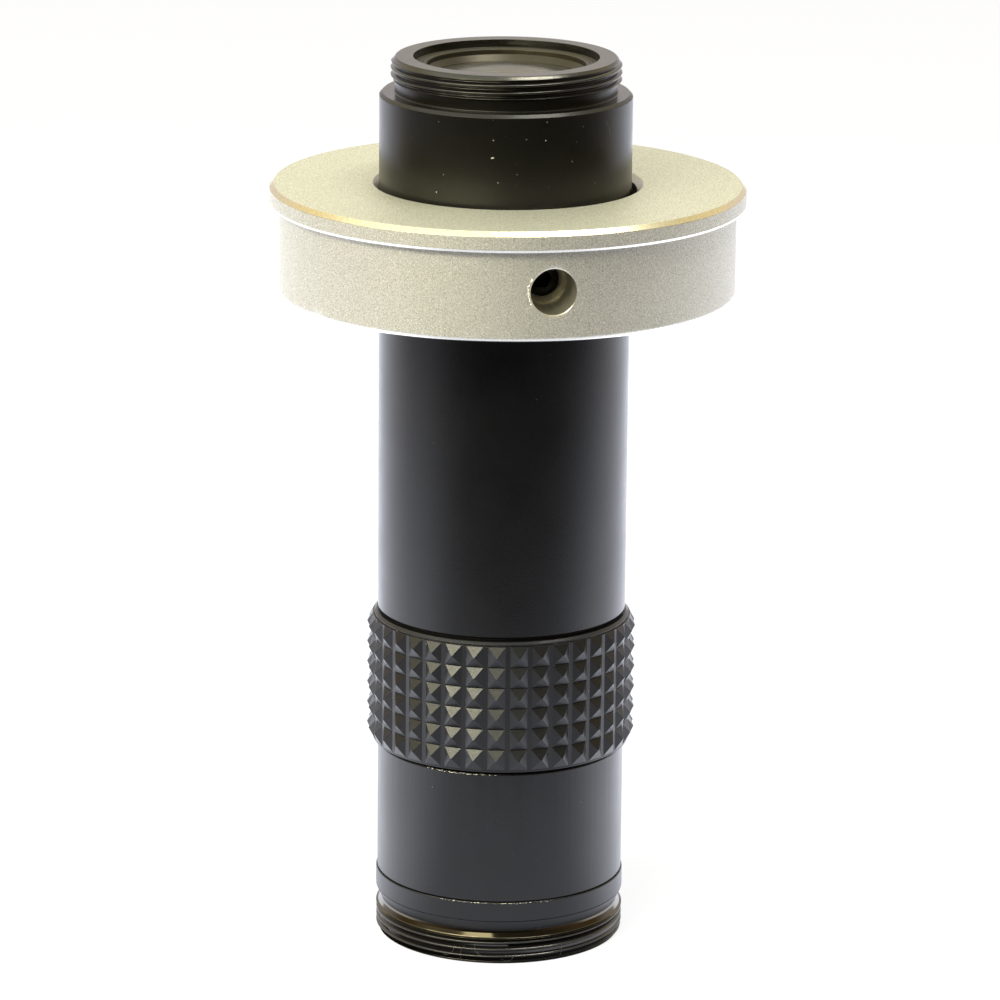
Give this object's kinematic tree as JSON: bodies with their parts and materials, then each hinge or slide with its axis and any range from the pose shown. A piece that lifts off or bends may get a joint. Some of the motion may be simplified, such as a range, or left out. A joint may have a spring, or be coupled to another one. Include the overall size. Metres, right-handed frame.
{
  "type": "c-mount zoom lens",
  "caption": "Slender tube zoom lens with a camera thread at one end, a pyramid-cut zoom ring, a threaded objective cell and a flanged stand ring clamped round the barrel.",
  "frame": {"origin": "on the optical axis, at the plane of the objective cell's lower rim, on which the lens stands", "axes": "+Z along the optical axis from the objective end to the camera end; -Y is the side that the picture shows"},
  "size_m": [0.0521, 0.052, 0.0994],
  "materials": {
    "camera_end_black": "glossy black anodised, fine turned",
    "barrel_black": "satin black anodised, bead blasted",
    "grip_black": "satin black anodised over cut pyramids",
    "cell_black": "satin black anodised, turned thread",
    "stand_champagne": "champagne anodised, bead blasted, bright chamfers",
    "inner_black": "matt black anodised baffle finish",
    "screw_black": "black oxide steel",
    "washer_black": "filled low friction plastic",
    "follower_brass": "turned brass",
    "lens_glass": "coated optical glass"
  },
  "bodies": {
    "barrel": {"c_mount_adapter": "camera_end_black", "rear_flint_lens": "lens_glass", "rear_lens_spacer": "inner_black", "rear_crown_lens": "lens_glass", "rear_retaining_ring": "inner_black", "main_barrel": "barrel_black", "aperture_stop": "inner_black", "stop_retaining_ring": "inner_black", "mounting_ring": "stand_champagne", "mounting_set_screws": "screw_black", "upper_thrust_washer": "washer_black", "lower_thrust_washer": "washer_black", "front_barrel": "barrel_black", "objective_cell": "cell_black", "front_crown_lens": "lens_glass", "front_flint_lens": "lens_glass", "front_lens_spacer": "inner_black", "front_retaining_ring": "inner_black"},
    "zoom_grip": {"zoom_ring": "grip_black", "cam_sleeve": "inner_black"},
    "lens_carriage": {"zoom_carriage": "inner_black", "zoom_flint_lens": "lens_glass", "zoom_crown_lens": "lens_glass", "zoom_retaining_ring": "inner_black", "cam_followers": "follower_brass"}
  },
  "joints": [
    {"name": "zoom_turn", "type": "hinge", "parent": "barrel", "child": "zoom_grip", "pos_m": [0, 0, 0.03], "axis": [0, 0, 1], "range_deg": [0, 150]},
    {"name": "carriage_slide", "type": "slide", "parent": "barrel", "child": "lens_carriage", "axis": [0, 0, 1], "range_m": [0, 0.009]}
  ],
  "couplings": [
    {"joint": "zoom_turn", "follows": "carriage_slide", "rad_per_m": 290.89}
  ]
}
